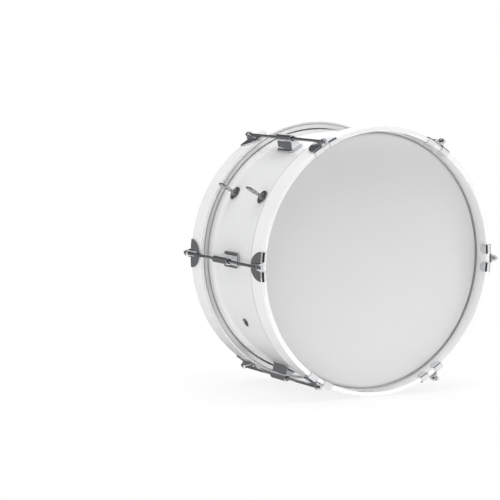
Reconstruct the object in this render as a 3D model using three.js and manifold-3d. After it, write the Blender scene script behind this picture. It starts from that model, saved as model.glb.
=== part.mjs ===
// Marching bass drum, 18 by 8 inches, in millimetres with +Z up.
// It stands on its two hoops, with its axis along Y and its front head towards -Y.
// The origin is on the floor, under the middle of the drum.

import * as THREE from "three";
import { mergeVertices } from "three/addons/utils/BufferGeometryUtils.js";
import Module from "manifold-3d";

const wasm = await Module();
wasm.setup();

// Fits
const SEAT_GAP = 0.3; // between pieces that bear on each other
const RUNNING_GAP = 0.35; // round a rod, screw or stem in its hole
const HOOK_GAP = 0.5; // between a claw and its hoop
const CUT_OVERRUN = 1; // how far a cutter passes the face that it cuts

// Facets
const RING_FACETS = 48; // round the drum, one of them flat on the floor
const BARREL_FACETS = 16; // round a barrel, cup or grommet
const ROD_FACETS = 12; // round a rod, stem or hole
const SCREW_FACETS = 8;
const NUT_SIDES = 6;
const BEND_STEPS = 6; // along a half round
const EDGE_STEPS = 2; // over a bearing edge

// Shell
const SHELL_RADIUS = 227;
const SHELL_DEPTH = 203;
const SHELL_WALL = 6;
const EDGE_ROUND = 2.5; // of the bearing edge that carries the head

// Heads
const FILM = 0.5;
const DRAPE_DEGREES = 60; // how far the film turns over the bearing edge
const FILM_TUCK = 4; // length of film held in the flesh hoop's slot

// Flesh hoops
const COLLAR_ROOM = 1.4; // between the shell and the flesh hoop
const FLESH_WIDTH = 8;
const FLESH_DEPTH = 9;
const FLESH_WALL = 1.2; // inside the slot, and its floor
const FLESH_LIP = 5; // height of the slot's inner wall

// Counter hoops
const HOOP_LIP = 4.3; // wood outside the flesh hoop
const HOOP_WALL = 8.5;
const HOOP_DEPTH = 41;
const HOOP_STANDOFF = 28.7; // from the bearing edge out to the rim
const HOOP_EASE = 1.5; // eased corners of the rim

// Stations round the drum
const STATIONS = 6;
const ROD_STANDOFF = 7; // from the hoop's outside to the rod's axis

// Tension rods
const THREAD_RADIUS = 2.75;
const THREAD_LENGTH = 52;
const SHANK_RADIUS = 3;
const ROD_END = 3; // from the drum's middle plane to the rod's end
const FLANGE_RADIUS = 5.3;
const FLANGE_THICKNESS = 1.6;
const KEY_WIDTH = 5.2; // across the flats of the square head
const KEY_LENGTH = 6.6;

// Lugs
const LUG_LENGTH = 52;
const LUG_WIDTH = 28;
const LUG_PLATE = 3.5;
const LUG_CORNER = 5;
const LUG_NECK = 18; // width of the body where it leaves the plate
const LUG_INSET = 1.5; // the body is this much shorter at each end
const LUG_WAIST_SHARE = 0.96; // of the barrel's width, where the body meets it
const BARREL_RADIUS = 6.7;
const MOUTH_RADIUS = 4.4;
const MOUTH_DEPTH = 5;

// Lug screws
const SCREW_MARGIN = 9; // from the lug's end to its screw
const SCREW_RADIUS = 2.4;
const SCREW_BITE = 8; // length inside the lug
const SCREW_HEAD_RADIUS = 4.5;
const SCREW_HEAD = 3.5;

// Claws
const CLAW_WIDTH = 52;
const CLAW_DEPTH = 37;
const CLAW_SHEET = 1.8;
const TAB_SPACING = 17; // between the two hooked tabs
const TONGUE_DEPTH = 16.5; // how far a tab reaches down inside the hoop
const BOSS_FOOT = 15; // width of the raised middle at the sheet
const BOSS_INSET = 2; // the boss ends this far short of the sheet's tip
const COLLAR_LENGTH = 4; // thicker band at the boss's inner end
const COLLAR_RISE = 0.8;
const TUNNEL_ROOM = 0.5; // extra room round the rod inside the boss

// Eyebolts
const EYEBOLT_DEGREES = 150;
const EYEBOLT_SPREAD = 98;
const STEM_RADIUS = 3;
const NECK_RADIUS = 2.3;
const EYE_LENGTH = 27;
const EYE_WIDTH = 19;
const EYE_WIRE = 4.4;
const EYE_COLLAR_RADIUS = 4.6;
const EYE_COLLAR = 2.5;
const NECK_LENGTH = 3;
const NUT_RADIUS = 6.4;
const NUT_HEIGHT = 5;
const STEM_TAIL = 4; // stem past the nut
const CUP_RADIUS = 13;
const CUP_EDGE = 1;
const CUP_HEIGHT = 4;

// Vent
const VENT_DEGREES = 210;
const VENT_RADIUS = 4.6;
const VENT_WALL = 1.2;
const VENT_FLANGE = 3;
const VENT_FLANGE_THICKNESS = 1.2;

// Worked out from the sizes above
const SHELL_INNER = SHELL_RADIUS - SHELL_WALL;
const SHELL_EDGE = SHELL_DEPTH / 2;
const FLESH_INNER = SHELL_RADIUS + COLLAR_ROOM;
const FLESH_OUTER = FLESH_INNER + FLESH_WIDTH;
const HOOP_OUTER = FLESH_OUTER + SEAT_GAP + HOOP_LIP;
const HOOP_INNER = HOOP_OUTER - HOOP_WALL;
const RIM = SHELL_EDGE + HOOP_STANDOFF;
const HOOP_EDGE = RIM - HOOP_DEPTH;
const FLESH_TOP = HOOP_EDGE + FLESH_DEPTH;
const ROD_AXIS = HOOP_OUTER + ROD_STANDOFF;
const SHANK_HOLE = SHANK_RADIUS + RUNNING_GAP;
const HOOK_OUTSIDE = RIM + HOOK_GAP + CLAW_SHEET;
const STATION_STEP = (2 * Math.PI) / STATIONS;

// Finishes
function finish(color, roughness, metalness) {
  return () => new THREE.MeshStandardMaterial({ color, roughness, metalness });
}

const glossWhite = finish(0xf1f1ef, 0.12, 0);
const hoopWhite = finish(0xf5f5f3, 0.18, 0);
const filmWhite = finish(0xdcddda, 0.55, 0);
const chrome = finish(0xc9ccd0, 0.08, 1);
const aluminium = finish(0xc2c4c6, 0.4, 1);
const zinc = finish(0xa9abab, 0.45, 1);

// Axes: a shape's x and y, and the way it is extruded, in turn
const AXIS_X = new THREE.Vector3(1, 0, 0);
const AXIS_Y = new THREE.Vector3(0, 1, 0);
const AXIS_Z = new THREE.Vector3(0, 0, 1);
const TURN_TO_X = new THREE.Matrix4().makeBasis(AXIS_Y, AXIS_Z, AXIS_X);
const TURN_TO_Y = new THREE.Matrix4().makeBasis(AXIS_Z, AXIS_X, AXIS_Y);

// A closed geometry as a solid that can be joined and cut
function solidOf(geometry) {
  const bare = geometry.clone();
  bare.deleteAttribute("normal");
  bare.deleteAttribute("uv");
  const merged = mergeVertices(bare);
  const corners = merged.index.array;
  const kept = [];
  for (let i = 0; i < corners.length; i += 3) {
    const [a, b, c] = corners.subarray(i, i + 3);
    if (a !== b && b !== c && c !== a) {
      kept.push(a, b, c);
    }
  }
  const vertProperties = new Float32Array(merged.attributes.position.array);
  const triVerts = new Uint32Array(kept);
  return new wasm.Manifold(new wasm.Mesh({ numProp: 3, vertProperties, triVerts }));
}

function geometryOf(solid) {
  const mesh = solid.getMesh();
  const geometry = new THREE.BufferGeometry();
  geometry.setAttribute("position", new THREE.BufferAttribute(mesh.vertProperties, mesh.numProp));
  geometry.setIndex(new THREE.BufferAttribute(mesh.triVerts, 1));
  const flat = geometry.toNonIndexed();
  flat.computeVertexNormals();
  return flat;
}

// An outline extruded from one place to another along an axis
function extruded(shape, from, to, turn, steps = BEND_STEPS) {
  const options = { depth: to - from, bevelEnabled: false, curveSegments: steps };
  const geometry = new THREE.ExtrudeGeometry(shape, options);
  geometry.translate(0, 0, from);
  geometry.applyMatrix4(turn);
  return geometry;
}

// In alongX a shape's x and y become Y and Z; in alongY they become Z and X
function alongX(shape, from, to, steps) {
  return solidOf(extruded(shape, from, to, TURN_TO_X, steps));
}

function alongY(shape, from, to, steps) {
  return solidOf(extruded(shape, from, to, TURN_TO_Y, steps));
}

// A turned piece round its own Y axis, from [radius, height] pairs
function turned(profile, facets) {
  const points = profile.map(([radius, height]) => new THREE.Vector2(radius, height));
  return new THREE.LatheGeometry(points, facets);
}

// A ring round the drum: the radii are those of its flats
function drumRing(profile) {
  const halfFacet = Math.PI / RING_FACETS;
  const reach = 1 / Math.cos(halfFacet);
  const points = profile.map(([radius, height]) => new THREE.Vector2(radius * reach, height));
  return new THREE.LatheGeometry(points, RING_FACETS, halfFacet);
}

function closed(profile) {
  return [...profile, profile[0]];
}

// A round cutter along X, from the drum's axis outward
function radialDrill(radius, from, to, facets) {
  const drill = new THREE.CylinderGeometry(radius, radius, to - from, facets);
  drill.translate(0, (from + to) / 2, 0);
  drill.applyMatrix4(TURN_TO_Y);
  return drill;
}

// Places of the lugs' screws and of the eyebolts along the drum
const SCREW_PLACE = LUG_LENGTH / 2 - SCREW_MARGIN;
const SCREW_PLACES = [-SCREW_PLACE, SCREW_PLACE];
const EYEBOLT_PLACES = [-EYEBOLT_SPREAD / 2, EYEBOLT_SPREAD / 2];

// Shell: a plain tube with rounded bearing edges and holes for all that passes its wall
function shellGeometry() {
  const crown = SHELL_RADIUS - EDGE_ROUND;
  const bevelFoot = SHELL_EDGE - (crown - SHELL_INNER);
  const upper = [[SHELL_INNER, bevelFoot]];
  for (let i = 0; i <= EDGE_STEPS; i += 1) {
    const angle = ((Math.PI / 2) * i) / EDGE_STEPS;
    const height = SHELL_EDGE - EDGE_ROUND + EDGE_ROUND * Math.cos(angle);
    upper.push([crown + EDGE_ROUND * Math.sin(angle), height]);
  }
  const lower = upper.map(([radius, height]) => [radius, -height]);
  const profile = closed([...lower, ...upper.reverse()]);
  let shell = solidOf(drumRing(profile));
  const from = SHELL_INNER - CUT_OVERRUN;
  const to = SHELL_RADIUS + CUT_OVERRUN;
  const drill = (radius, angle, place, facets) => {
    const cutter = radialDrill(radius, from, to, facets);
    cutter.translate(0, place, 0);
    cutter.rotateY(-angle);
    shell = shell.subtract(solidOf(cutter));
  };
  for (let station = 0; station < STATIONS; station += 1) {
    const angle = station * STATION_STEP;
    SCREW_PLACES.forEach((place) => drill(SCREW_RADIUS + RUNNING_GAP, angle, place, SCREW_FACETS));
  }
  const eyeboltAngle = THREE.MathUtils.degToRad(EYEBOLT_DEGREES);
  EYEBOLT_PLACES.forEach((place) => drill(STEM_RADIUS + RUNNING_GAP, eyeboltAngle, place, ROD_FACETS));
  const ventHole = VENT_RADIUS + VENT_WALL + SEAT_GAP;
  drill(ventHole, THREE.MathUtils.degToRad(VENT_DEGREES), 0, ROD_FACETS);
  return geometryOf(shell);
}

// Head: film over the bearing edge, down into the flesh hoop's slot
function headGeometry() {
  const crown = SHELL_RADIUS - EDGE_ROUND;
  const pivot = SHELL_EDGE - EDGE_ROUND;
  const drape = THREE.MathUtils.degToRad(DRAPE_DEGREES);
  const under = EDGE_ROUND + SEAT_GAP;
  const slot = slotSides();
  const skin = (radius, tuckRadius) => {
    const points = [];
    for (let i = 0; i <= EDGE_STEPS; i += 1) {
      const angle = (drape * i) / EDGE_STEPS;
      points.push([crown + radius * Math.sin(angle), pivot + radius * Math.cos(angle)]);
    }
    const [lastRadius, lastHeight] = points[EDGE_STEPS];
    const entry = lastHeight - (tuckRadius - lastRadius) * Math.tan(drape);
    points.push([tuckRadius, entry]);
    points.push([tuckRadius, slot.floor + SEAT_GAP]);
    return points;
  };
  const inner = skin(under, slot.inner + SEAT_GAP);
  const outer = skin(under + FILM, slot.outer - SEAT_GAP);
  const profile = [[0, pivot + under], ...inner, ...outer.reverse(), [0, pivot + under + FILM]];
  return drumRing(profile);
}

// Slot of the flesh hoop that holds the film's edge
function slotSides() {
  const inner = FLESH_INNER + FLESH_WALL;
  const outer = inner + FILM + 2 * SEAT_GAP;
  const floor = HOOP_EDGE + FLESH_LIP - FILM_TUCK;
  return { inner, outer, floor };
}

function fleshHoopGeometry() {
  const slot = slotSides();
  return drumRing(
    closed([
      [FLESH_INNER, HOOP_EDGE],
      [FLESH_OUTER, HOOP_EDGE],
      [FLESH_OUTER, FLESH_TOP],
      [slot.outer, FLESH_TOP],
      [slot.outer, slot.floor],
      [slot.inner, slot.floor],
      [slot.inner, HOOP_EDGE + FLESH_LIP],
      [FLESH_INNER, HOOP_EDGE + FLESH_LIP],
    ]),
  );
}

// Counter hoop: its step bears on the flesh hoop, and its lip goes round it
function hoopGeometry() {
  const lipInner = FLESH_OUTER + SEAT_GAP;
  const step = FLESH_TOP + SEAT_GAP;
  return drumRing(
    closed([
      [lipInner, HOOP_EDGE],
      [HOOP_OUTER, HOOP_EDGE],
      [HOOP_OUTER, RIM - HOOP_EASE],
      [HOOP_OUTER - HOOP_EASE, RIM],
      [HOOP_INNER + HOOP_EASE, RIM],
      [HOOP_INNER, RIM - HOOP_EASE],
      [HOOP_INNER, step],
      [lipInner, step],
    ]),
  );
}

function roundedRectangle(length, width, corner) {
  const x = length / 2;
  const y = width / 2;
  const shape = new THREE.Shape();
  shape.moveTo(-x + corner, -y);
  shape.lineTo(x - corner, -y);
  shape.absarc(x - corner, -y + corner, corner, -Math.PI / 2, 0, false);
  shape.absarc(x - corner, y - corner, corner, 0, Math.PI / 2, false);
  shape.absarc(-x + corner, y - corner, corner, Math.PI / 2, Math.PI, false);
  shape.absarc(-x + corner, -y + corner, corner, Math.PI, 1.5 * Math.PI, false);
  return shape;
}

// The lug body's outline, waisted from the plate up to the barrel
function neckShape(foot) {
  const waist = BARREL_RADIUS * LUG_WAIST_SHARE;
  const shape = new THREE.Shape();
  shape.moveTo(-LUG_NECK / 2, foot);
  shape.lineTo(LUG_NECK / 2, foot);
  shape.lineTo(waist, ROD_AXIS);
  shape.lineTo(-waist, ROD_AXIS);
  shape.closePath();
  return shape;
}

// An outline that stands on a foot and ends in a round top about the rod's axis
function archShape(footWidth, foot, radius) {
  const shape = new THREE.Shape();
  shape.moveTo(-footWidth / 2, foot);
  shape.lineTo(footWidth / 2, foot);
  shape.lineTo(radius, ROD_AXIS);
  shape.absarc(0, ROD_AXIS, radius, 0, Math.PI, false);
  shape.closePath();
  return shape;
}

// A round bar or cutter along Y about the rod's axis
function barrel(radius, from, to, facets) {
  const bar = new THREE.CylinderGeometry(radius, radius, to - from, facets);
  bar.translate(ROD_AXIS, (from + to) / 2, 0);
  return solidOf(bar);
}

// Lug: a plate on the shell, a waisted body and a barrel with a mouth at each end
function lugGeometry() {
  const seat = SHELL_RADIUS + SEAT_GAP;
  const plateTop = seat + LUG_PLATE;
  const half = LUG_LENGTH / 2;
  const bodyHalf = half - LUG_INSET;
  const outline = roundedRectangle(LUG_LENGTH, LUG_WIDTH, LUG_CORNER);
  const plate = alongX(outline, seat, plateTop, BEND_STEPS / 2);
  const body = alongY(neckShape(seat + LUG_PLATE / 2), -bodyHalf, bodyHalf);
  const thread = THREAD_RADIUS + RUNNING_GAP;
  const end = half + CUT_OVERRUN;
  let lug = plate.add(body).add(barrel(BARREL_RADIUS, -half, half, BARREL_FACETS));
  lug = lug.subtract(barrel(thread, -end, end, ROD_FACETS));
  lug = lug.subtract(barrel(MOUTH_RADIUS, half - MOUTH_DEPTH, end, ROD_FACETS));
  lug = lug.subtract(barrel(MOUTH_RADIUS, -end, MOUTH_DEPTH - half, ROD_FACETS));
  SCREW_PLACES.forEach((place) => {
    const bite = seat + SCREW_BITE + SEAT_GAP;
    const hole = radialDrill(SCREW_RADIUS + RUNNING_GAP, seat - CUT_OVERRUN, bite, SCREW_FACETS);
    hole.translate(0, place, 0);
    lug = lug.subtract(solidOf(hole));
  });
  return geometryOf(lug);
}

// Lug screw: its head inside the shell and its point in the lug, along X
function screwGeometry() {
  const headTop = SHELL_INNER - SEAT_GAP;
  const screw = turned(
    [
      [0, headTop - SCREW_HEAD],
      [SCREW_HEAD_RADIUS, headTop - SCREW_HEAD],
      [SCREW_HEAD_RADIUS, headTop],
      [SCREW_RADIUS, headTop],
      [SCREW_RADIUS, SHELL_RADIUS + SEAT_GAP + SCREW_BITE],
      [0, SHELL_RADIUS + SEAT_GAP + SCREW_BITE],
    ],
    SCREW_FACETS,
  );
  screw.applyMatrix4(TURN_TO_Y);
  return screw;
}

// A bent plate that follows the drum's facets, wide enough for a claw
function bentPlate(inner, outer, from, to) {
  const halfFacet = Math.PI / RING_FACETS;
  const reach = 1 / Math.cos(halfFacet);
  const spread = Math.asin((CLAW_WIDTH / 2 + CUT_OVERRUN) / inner);
  const sideFacets = Math.ceil((spread - halfFacet) / (2 * halfFacet));
  const corners = 2 * sideFacets + 2;
  const row = Array.from({ length: corners }, (_, i) => (2 * i - corners + 1) * halfFacet);
  const place = (radius) => (angle) => {
    const far = radius * reach;
    return new THREE.Vector2(far * Math.sin(angle), far * Math.cos(angle));
  };
  const shape = new THREE.Shape([...row.map(place(inner)), ...row.reverse().map(place(outer))]);
  return alongY(shape, from, to);
}

// The claw's D outline, flat at the rim and round towards the lug
function clawOutline() {
  const shape = new THREE.Shape();
  shape.moveTo(HOOK_OUTSIDE, -CLAW_WIDTH / 2);
  shape.lineTo(HOOK_OUTSIDE, CLAW_WIDTH / 2);
  shape.lineTo(RIM, CLAW_WIDTH / 2);
  shape.absellipse(RIM, 0, CLAW_DEPTH, CLAW_WIDTH / 2, Math.PI / 2, 1.5 * Math.PI, false, 0);
  shape.closePath();
  return shape;
}

// One hooked tab's outline, with its round end inside the hoop
function tabOutline(side) {
  const width = (CLAW_WIDTH - TAB_SPACING) / 2;
  const radius = width / 2;
  const middle = side * (TAB_SPACING / 2 + radius);
  const shape = new THREE.Shape();
  shape.moveTo(HOOK_OUTSIDE, middle - radius);
  shape.lineTo(HOOK_OUTSIDE, middle + radius);
  shape.absarc(RIM - TONGUE_DEPTH + radius, middle, radius, Math.PI / 2, 1.5 * Math.PI, false);
  shape.closePath();
  return shape;
}

// Claw for the back hoop: sheet, two tabs over the rim and a hollow boss for the rod
function clawGeometry() {
  const sheetInner = HOOP_OUTER + HOOK_GAP;
  const sheetOuter = sheetInner + CLAW_SHEET;
  const tongueOuter = HOOP_INNER - HOOK_GAP;
  const tongueInner = tongueOuter - CLAW_SHEET;
  const tip = RIM - CLAW_DEPTH;
  const bossEnd = tip + BOSS_INSET;
  const inside = HOOP_INNER - HOOP_WALL;
  const outside = HOOP_OUTER + HOOP_WALL;
  const sheet = bentPlate(sheetInner, sheetOuter, tip, HOOK_OUTSIDE);
  let claw = sheet.intersect(alongX(clawOutline(), inside, outside));
  const cap = bentPlate(tongueInner, sheetOuter, HOOK_OUTSIDE - CLAW_SHEET, HOOK_OUTSIDE);
  const tongue = bentPlate(tongueInner, tongueOuter, RIM - TONGUE_DEPTH, HOOK_OUTSIDE);
  const hook = cap.add(tongue);
  [-1, 1].forEach((side) => {
    claw = claw.add(hook.intersect(alongX(tabOutline(side), inside, outside)));
  });
  const tunnelRadius = SHANK_HOLE + TUNNEL_ROOM;
  const bossRadius = tunnelRadius + CLAW_SHEET;
  const bossFoot = sheetInner + CLAW_SHEET / 2;
  const boss = archShape(BOSS_FOOT, bossFoot, bossRadius);
  const band = archShape(BOSS_FOOT + COLLAR_RISE, bossFoot, bossRadius + COLLAR_RISE);
  const tunnel = archShape(BOSS_FOOT - 2 * CLAW_SHEET, HOOP_OUTER, tunnelRadius);
  claw = claw.add(alongY(boss, bossEnd, HOOK_OUTSIDE));
  claw = claw.add(alongY(band, bossEnd, bossEnd + COLLAR_LENGTH));
  const wall = HOOK_OUTSIDE - CLAW_SHEET;
  claw = claw.subtract(alongY(tunnel, tip - CUT_OVERRUN, wall));
  claw = claw.subtract(barrel(SHANK_HOLE, wall - CUT_OVERRUN, HOOK_OUTSIDE + CUT_OVERRUN, ROD_FACETS));
  return geometryOf(claw);
}

// Tension rod: thread, shank, flange on the claw and a square head for the key, along Y
function rodGeometry() {
  const seat = HOOK_OUTSIDE + SEAT_GAP;
  const crown = seat + FLANGE_THICKNESS;
  const threadTop = ROD_END + THREAD_LENGTH;
  const shaft = turned(
    [
      [0, ROD_END],
      [THREAD_RADIUS, ROD_END],
      [THREAD_RADIUS, threadTop],
      [SHANK_RADIUS, threadTop],
      [SHANK_RADIUS, seat],
      [FLANGE_RADIUS, seat],
      [FLANGE_RADIUS, crown],
      [0, crown],
    ],
    ROD_FACETS,
  );
  const key = new THREE.BoxGeometry(KEY_WIDTH, KEY_LENGTH + FLANGE_THICKNESS, KEY_WIDTH);
  key.translate(0, seat + (KEY_LENGTH + FLANGE_THICKNESS) / 2, 0);
  return geometryOf(solidOf(shaft).add(solidOf(key)));
}

// Heights of the eyebolt above the shell's outside
const CUP_SEAT = SHELL_RADIUS + SEAT_GAP;
const EYE_COLLAR_SEAT = CUP_SEAT + CUP_HEIGHT + SEAT_GAP;
const NECK_SEAT = EYE_COLLAR_SEAT + EYE_COLLAR;
const EYE_FOOT = NECK_SEAT + NECK_LENGTH;

function racetrack(length, width) {
  return roundedRectangle(length, width, width / 2);
}

// Eyebolt: a stem through the shell and a long eye that lies along the drum
function eyeboltGeometry() {
  const flatShare = Math.SQRT2 - 1;
  const flat = EYE_WIRE * flatShare;
  const bevel = (EYE_WIRE - flat) / 2;
  const outline = racetrack(EYE_LENGTH, EYE_WIDTH);
  outline.holes.push(racetrack(EYE_LENGTH - 2 * EYE_WIRE, EYE_WIDTH - 2 * EYE_WIRE));
  const eye = new THREE.ExtrudeGeometry(outline, {
    depth: flat,
    bevelThickness: bevel,
    bevelSize: bevel,
    bevelOffset: -bevel,
    bevelSegments: 1,
    curveSegments: BEND_STEPS / 2,
  });
  eye.translate(EYE_FOOT + EYE_LENGTH / 2, 0, -flat / 2);
  const stem = turned(
    [
      [0, SHELL_INNER - SEAT_GAP - NUT_HEIGHT - STEM_TAIL],
      [STEM_RADIUS, SHELL_INNER - SEAT_GAP - NUT_HEIGHT - STEM_TAIL],
      [STEM_RADIUS, EYE_COLLAR_SEAT],
      [EYE_COLLAR_RADIUS, EYE_COLLAR_SEAT],
      [EYE_COLLAR_RADIUS, NECK_SEAT],
      [NECK_RADIUS, NECK_SEAT],
      [NECK_RADIUS, EYE_FOOT + EYE_WIRE / 2],
      [0, EYE_FOOT + EYE_WIRE / 2],
    ],
    ROD_FACETS,
  );
  stem.applyMatrix4(TURN_TO_Y);
  return geometryOf(solidOf(stem).add(solidOf(eye)));
}

// Domed cup washer between the eyebolt and the shell
function cupGeometry() {
  const bore = STEM_RADIUS + RUNNING_GAP;
  const profile = [
    [bore, 0],
    [CUP_RADIUS, 0],
    [CUP_RADIUS, CUP_EDGE],
  ];
  const steps = BEND_STEPS / 2;
  for (let i = 1; i <= steps; i += 1) {
    const angle = ((Math.PI / 2) * i) / steps;
    const radius = EYE_COLLAR_RADIUS + (CUP_RADIUS - EYE_COLLAR_RADIUS) * Math.cos(angle);
    profile.push([radius, CUP_EDGE + (CUP_HEIGHT - CUP_EDGE) * Math.sin(angle)]);
  }
  profile.push([bore, CUP_HEIGHT]);
  const cup = turned(closed(profile), BARREL_FACETS);
  cup.translate(0, CUP_SEAT, 0);
  cup.applyMatrix4(TURN_TO_Y);
  return cup;
}

// Hexagon nut inside the shell
function nutGeometry() {
  const top = SHELL_INNER - SEAT_GAP;
  const hexagon = new THREE.CylinderGeometry(NUT_RADIUS, NUT_RADIUS, NUT_HEIGHT, NUT_SIDES);
  hexagon.translate(0, top - NUT_HEIGHT / 2, 0);
  hexagon.applyMatrix4(TURN_TO_Y);
  const under = top - NUT_HEIGHT - CUT_OVERRUN;
  const bore = radialDrill(STEM_RADIUS + RUNNING_GAP, under, top + CUT_OVERRUN, ROD_FACETS);
  return geometryOf(solidOf(hexagon).subtract(solidOf(bore)));
}

// Grommet of the vent hole: a tube through the wall with a flange on each side
function grommetGeometry() {
  const tube = VENT_RADIUS + VENT_WALL;
  const flange = tube + VENT_FLANGE;
  const inside = SHELL_INNER - SEAT_GAP;
  const outside = SHELL_RADIUS + SEAT_GAP;
  const grommet = turned(
    closed([
      [VENT_RADIUS, inside - VENT_FLANGE_THICKNESS],
      [flange, inside - VENT_FLANGE_THICKNESS],
      [flange, inside],
      [tube, inside],
      [tube, outside],
      [flange, outside],
      [flange, outside + VENT_FLANGE_THICKNESS],
      [VENT_RADIUS, outside + VENT_FLANGE_THICKNESS],
    ]),
    ROD_FACETS,
  );
  grommet.applyMatrix4(TURN_TO_Y);
  return grommet;
}

// A group whose +X points out from the drum's axis at an angle, seen from the front
function radialGroup(angle, along = 0) {
  const group = new THREE.Group();
  group.rotation.y = -angle;
  group.position.y = along;
  return group;
}

function named(name, geometry, material) {
  const mesh = new THREE.Mesh(geometry, material());
  mesh.name = name;
  return mesh;
}

// The back end is modelled, and the front end is the same pieces turned over
function turnedToFront() {
  const group = new THREE.Group();
  group.rotation.x = Math.PI;
  return group;
}

const drum = new THREE.Group();
drum.position.z = HOOP_OUTER;
drum.add(named("shell", shellGeometry(), glossWhite));

const head = headGeometry();
const fleshHoop = fleshHoopGeometry();
const hoop = hoopGeometry();
const claw = clawGeometry();
const rod = rodGeometry();

function addEnd(end, group) {
  group.add(named(`${end}_head`, head, filmWhite));
  group.add(named(`${end}_flesh_hoop`, fleshHoop, aluminium));
  group.add(named(`${end}_hoop`, hoop, hoopWhite));
  drum.add(group);
}

addEnd("back", new THREE.Group());
addEnd("front", turnedToFront());

function addStationEnd(end, number, group, station) {
  const rodMesh = named(`${end}_rod_${number}`, rod, chrome);
  rodMesh.position.x = ROD_AXIS;
  group.add(named(`${end}_claw_${number}`, claw, chrome), rodMesh);
  station.add(group);
}

const lug = lugGeometry();
const screw = screwGeometry();
const ENDS = ["front", "back"];

for (let index = 0; index < STATIONS; index += 1) {
  const number = index + 1;
  const station = radialGroup(index * STATION_STEP);
  station.add(named(`lug_${number}`, lug, chrome));
  SCREW_PLACES.forEach((place, end) => {
    const mesh = named(`lug_screw_${number}_${ENDS[end]}`, screw, zinc);
    mesh.position.y = place;
    station.add(mesh);
  });
  addStationEnd("back", number, new THREE.Group(), station);
  addStationEnd("front", number, turnedToFront(), station);
  drum.add(station);
}

const eyebolt = eyeboltGeometry();
const cup = cupGeometry();
const nut = nutGeometry();

EYEBOLT_PLACES.forEach((place, end) => {
  const group = radialGroup(THREE.MathUtils.degToRad(EYEBOLT_DEGREES), place);
  group.add(named(`eyebolt_${ENDS[end]}`, eyebolt, chrome));
  group.add(named(`eyebolt_cup_${ENDS[end]}`, cup, chrome));
  group.add(named(`eyebolt_nut_${ENDS[end]}`, nut, zinc));
  drum.add(group);
});

const vent = radialGroup(THREE.MathUtils.degToRad(VENT_DEGREES));
vent.add(named("vent_grommet", grommetGeometry(), chrome));
drum.add(vent);

export default drum;
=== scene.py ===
"""Marching bass drum: the looks of its pieces, with a camera, lights and a floor."""

import math

import bpy
from mathutils import Matrix, Vector


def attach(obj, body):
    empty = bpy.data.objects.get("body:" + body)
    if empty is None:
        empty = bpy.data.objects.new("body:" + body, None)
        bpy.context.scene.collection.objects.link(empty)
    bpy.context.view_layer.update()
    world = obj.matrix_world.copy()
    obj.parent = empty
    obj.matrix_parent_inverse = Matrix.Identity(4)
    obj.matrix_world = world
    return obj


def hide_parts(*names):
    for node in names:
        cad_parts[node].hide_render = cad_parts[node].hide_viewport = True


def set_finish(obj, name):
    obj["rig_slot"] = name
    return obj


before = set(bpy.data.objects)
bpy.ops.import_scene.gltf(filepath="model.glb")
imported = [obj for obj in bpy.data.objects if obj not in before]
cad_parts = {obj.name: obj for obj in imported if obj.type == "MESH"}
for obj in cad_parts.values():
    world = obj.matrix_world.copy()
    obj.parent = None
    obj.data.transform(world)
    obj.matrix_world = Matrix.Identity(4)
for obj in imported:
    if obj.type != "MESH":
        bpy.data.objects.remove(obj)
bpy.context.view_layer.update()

MM = 0.001

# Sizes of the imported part, in millimetres
STATIONS = 6
STATION_DEGREES = 360 / STATIONS
ENDS = {"front": -1, "back": 1}
CENTRE = 241.0
GAP = 0.3
SHELL_RADIUS = 227.0
SHELL_WALL = 6.0
SHELL_EDGE = 101.5
FILM = 0.5
HOOP_OUTER = 241.0
HOOP_INNER = 232.5
HOOP_EDGE = 89.2
FLESH_TOP = 98.2
FLESH_INNER = 228.4
FLESH_OUTER = 236.4
RIM = 130.2
ROD_AXIS = 248.0
CLAW_INNER = 241.5
CLAW_SHEET = 1.8
CLAW_FRONT = 132.5
CLAW_HALF_WIDTH = 26.0
TONGUE_FACE = 230.2
TONGUE_END = 113.7
LUG_END = 26.0
LUG_PLATE = 3.5
EYEBOLT_DEGREES = 150.0
EYEBOLT_PLACE = 49.0
EYE_FOOT = 237.1
VENT_DEGREES = 210.0
SCREW_PLACE = 17.0
SCREW_HOLE = 2.75
BOLT_HOLE = 3.35
VENT_HOLE = 6.1
SHANK_HOLE = 3.35

# Sizes that only the looks have, in millimetres
THREAD_END = 55.0
PITCH = 25.4 / 24
RAMP_LENGTH = 27.0
BOSS_RADIUS = 5.65

# Points nearer than this, in millimetres, are joined
WELD = 0.002

RING_STEPS = 256

# Turns that lay what stands along Z down along another axis
ALONG_X = (0, math.pi / 2, 0)
ALONG_Y = (math.pi / 2, 0, 0)


# Modelling tools


def deselect():
    bpy.ops.object.select_all(action="DESELECT")


def edit():
    bpy.ops.object.mode_set(mode="EDIT")


def leave():
    bpy.ops.object.mode_set(mode="OBJECT")


def pick(piece):
    """Makes a piece the active one, and the only one selected."""
    deselect()
    piece.select_set(True)
    bpy.context.view_layer.objects.active = piece


def select_edges(test):
    """Selects the edges whose middle, in millimetres, passes the test."""
    leave()
    mesh = bpy.context.object.data
    for items in (mesh.vertices, mesh.edges, mesh.polygons):
        items.foreach_set("select", [False] * len(items))
    places = [v.co / MM for v in mesh.vertices]
    for edge in mesh.edges:
        a, b = (places[i] for i in edge.vertices)
        edge.select = test((a + b) / 2)
    edit()
    bpy.ops.mesh.select_mode(type="EDGE")


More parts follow.
